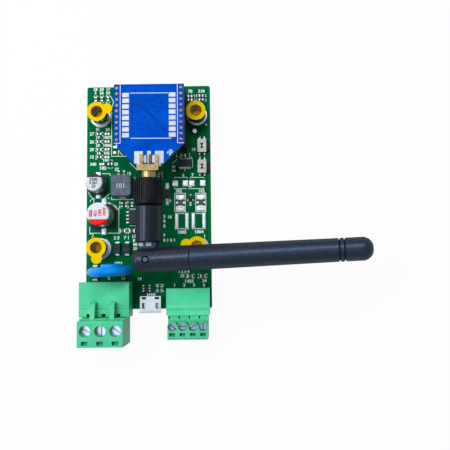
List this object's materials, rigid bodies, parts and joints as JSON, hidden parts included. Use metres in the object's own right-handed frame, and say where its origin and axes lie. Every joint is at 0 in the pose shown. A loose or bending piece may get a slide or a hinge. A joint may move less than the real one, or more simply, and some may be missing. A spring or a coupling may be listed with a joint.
{
  "type": "lora converter",
  "caption": "Radio converter circuit board with a socketed antenna module, folding stub antenna, pluggable screw terminals, micro USB socket and side buttons.",
  "frame": {"origin": "centre of the carrier board's underside", "axes": "+X to the right across the board, +Y to the end with the radio module, +Z out of the component side"},
  "size_m": [0.0972, 0.0927, 0.0339],
  "materials": {
    "board_green": "gloss",
    "board_blue": "gloss",
    "tin": "satin",
    "gold": "satin",
    "steel": "satin",
    "film": "gloss",
    "black": "satin",
    "antenna_black": "satin",
    "ptfe": "matte",
    "can": "satin",
    "ferrite": "matte",
    "chip_black": "matte",
    "chip_tan": "matte",
    "lamp_clear": "gloss",
    "connector_green": "satin",
    "epoxy_blue": "gloss",
    "copper": "satin"
  },
  "bodies": {
    "board": {"board_lands": "tin", "can_bases": "black", "can_leads": "tin", "carrier_board": "board_green", "chip_capacitors": "chip_tan", "chip_ends": "tin", "chip_leads": "tin", "chip_resistors": "chip_black", "coupling_nut": "black", "diode_leads": "tin", "diodes": "chip_black", "header_strips": "black", "inductor": "ferrite", "inductor_tabs": "tin", "jack_body": "gold", "jack_insulator": "ptfe", "jack_pin": "gold", "lamps": "lamp_clear", "large_can": "can", "module_board": "board_blue", "module_lands": "tin", "module_pins": "gold", "module_sockets": "black", "power_header": "connector_green", "power_pins": "tin", "radio_board": "board_blue", "radio_chip": "chip_black", "radio_crystal": "steel", "regulator": "chip_black", "signal_header": "connector_green", "signal_pins": "tin", "small_can": "can", "small_chips": "chip_black", "socket_contacts": "gold", "spacer_films": "film", "spacers": "steel", "switch_cases": "black", "switch_legs": "tin", "switch_plates": "can", "usb_contacts": "gold", "usb_shell": "steel", "usb_tongue": "black", "varistor": "epoxy_blue", "varistor_wires": "tin"},
    "antenna_base": {"antenna_foot": "antenna_black", "antenna_contact": "gold"},
    "antenna_arm": {"antenna_knuckle": "antenna_black", "antenna_sleeve": "antenna_black", "antenna_cap": "antenna_black", "antenna_tube": "gold", "antenna_rod": "copper", "hinge_pin": "antenna_black"},
    "button_a": {"button_a": "black"},
    "button_b": {"button_b": "black"},
    "power_plug": {"power_plug": "connector_green", "power_screws": "steel", "power_cages": "steel"},
    "signal_plug": {"signal_plug": "connector_green", "signal_screws": "steel", "signal_cages": "steel"}
  },
  "joints": [
    {"name": "antenna_swivel", "type": "hinge", "parent": "board", "child": "antenna_base", "pos_m": [0.00195, -0.011, 0.01592], "axis": [0, -1, 0], "range_deg": [-10.5, 119.5]},
    {"name": "antenna_fold", "type": "hinge", "parent": "antenna_base", "child": "antenna_arm", "pos_m": [0.00195, -0.0233, 0.01592], "axis": [-0.1822, 0, 0.9833], "range_deg": [-91.95, 0]},
    {"name": "button_a_press", "type": "slide", "parent": "board", "child": "button_a", "axis": [-1, 0, 0], "range_m": [0, 0.00025], "stiffness_N_per_m": 6000},
    {"name": "button_b_press", "type": "slide", "parent": "board", "child": "button_b", "axis": [-1, 0, 0], "range_m": [0, 0.00025], "stiffness_N_per_m": 6000},
    {"name": "power_plug_pull", "type": "slide", "parent": "board", "child": "power_plug", "axis": [0, -1, 0], "range_m": [0, 0.009]},
    {"name": "signal_plug_pull", "type": "slide", "parent": "board", "child": "signal_plug", "axis": [0, -1, 0], "range_m": [0, 0.007]}
  ]
}
